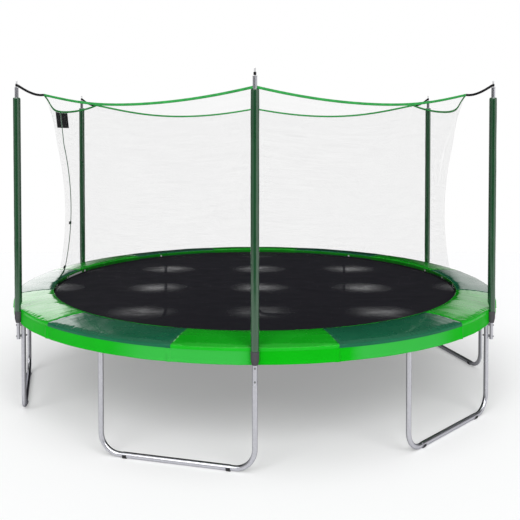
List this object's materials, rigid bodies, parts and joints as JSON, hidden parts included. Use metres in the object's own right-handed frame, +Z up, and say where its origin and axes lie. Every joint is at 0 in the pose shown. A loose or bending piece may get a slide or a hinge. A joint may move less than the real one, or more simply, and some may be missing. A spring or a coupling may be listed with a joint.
{
  "type": "trampoline",
  "caption": "Round garden trampoline on U-shaped legs, with padded poles, a sprung mat, a two-tone safety pad with a skirt and a safety net with a zipped door.",
  "frame": {"origin": "on the ground at the centre of the mat, under the middle of the object's box", "axes": "+Z up; -Y towards the front pole; +X to the right seen from the front; the door is at the left, -X"},
  "size_m": [4.575, 4.6678, 2.811],
  "materials": {
    "galvanised_tube": "galvanised, satin",
    "zinc_hardware": "zinc plated",
    "dark_hardware": "blackened steel",
    "black_plastic": "moulded, satin",
    "black_rubber": "matt",
    "cap_plastic": "satin",
    "sleeve_cloth": "coated cloth over foam",
    "cuff_foam": "foam end, wrapped",
    "mat_cloth": "woven polypropylene, slight gloss",
    "black_webbing": "woven webbing",
    "pad_light_green": "glossy coated cloth",
    "pad_dark_green": "glossy coated cloth",
    "skirt_green": "glossy coated cloth",
    "net_mesh": "fine open mesh of dark threads",
    "band_green": "woven band",
    "zip_tape": "woven tape with moulded teeth"
  },
  "bodies": {
    "frame": {"crossbar_1": "galvanised_tube", "crossbar_2": "galvanised_tube", "crossbar_3": "galvanised_tube", "crossbar_4": "galvanised_tube", "crossbar_5": "galvanised_tube", "crossbar_6": "galvanised_tube", "leg_elbows": "galvanised_tube", "leg_uprights": "galvanised_tube", "t_sockets": "galvanised_tube", "top_rails": "galvanised_tube", "pole_lower_tubes": "galvanised_tube", "pole_upper_tubes": "galvanised_tube", "pole_spacers": "galvanised_tube", "socket_screws": "zinc_hardware", "springs": "zinc_hardware", "pole_bolts": "dark_hardware", "pole_nuts": "dark_hardware", "foot_pads": "black_rubber", "door_buckles": "black_plastic", "pole_caps": "cap_plastic", "pole_sleeve_1": "sleeve_cloth", "pole_sleeve_2": "sleeve_cloth", "pole_sleeve_3": "sleeve_cloth", "pole_sleeve_4": "sleeve_cloth", "pole_sleeve_5": "sleeve_cloth", "pole_sleeve_6": "sleeve_cloth", "sleeve_cuffs": "cuff_foam", "pad_ties": "black_webbing", "corner_straps": "black_webbing", "door_patch": "black_webbing", "pad_1": "pad_light_green", "pad_3": "pad_light_green", "pad_5": "pad_light_green", "pad_7": "pad_light_green", "pad_9": "pad_light_green", "pad_11": "pad_light_green", "pad_2": "pad_dark_green", "pad_4": "pad_dark_green", "pad_6": "pad_dark_green", "pad_8": "pad_dark_green", "pad_10": "pad_dark_green", "pad_12": "pad_dark_green", "skirt": "skirt_green", "net_panel_1": "net_mesh", "net_panel_2": "net_mesh", "net_panel_3": "net_mesh", "net_panel_4": "net_mesh", "net_panel_5": "net_mesh", "net_panel_6": "net_mesh", "net_top_band": "band_green", "door_zip": "zip_tape"},
    "mat": {"mat": "mat_cloth", "mat_webbing": "black_webbing", "v_rings": "zinc_hardware", "net_hem": "black_webbing", "net_clips": "cap_plastic"},
    "slider": {"zip_slider": "zinc_hardware"}
  },
  "joints": [
    {"name": "mat_bounce", "type": "slide", "parent": "frame", "child": "mat", "axis": [0, 0, 1], "range_m": [-0.2, 0], "stiffness_N_per_m": 6000, "springref_m": 0.12, "deforming": ["springs"]},
    {"name": "zip_slide", "type": "hinge", "parent": "frame", "child": "slider", "pos_m": [-4.759, 0, 1.64], "axis": [0, -1, 0], "range_deg": [0, 24]}
  ]
}
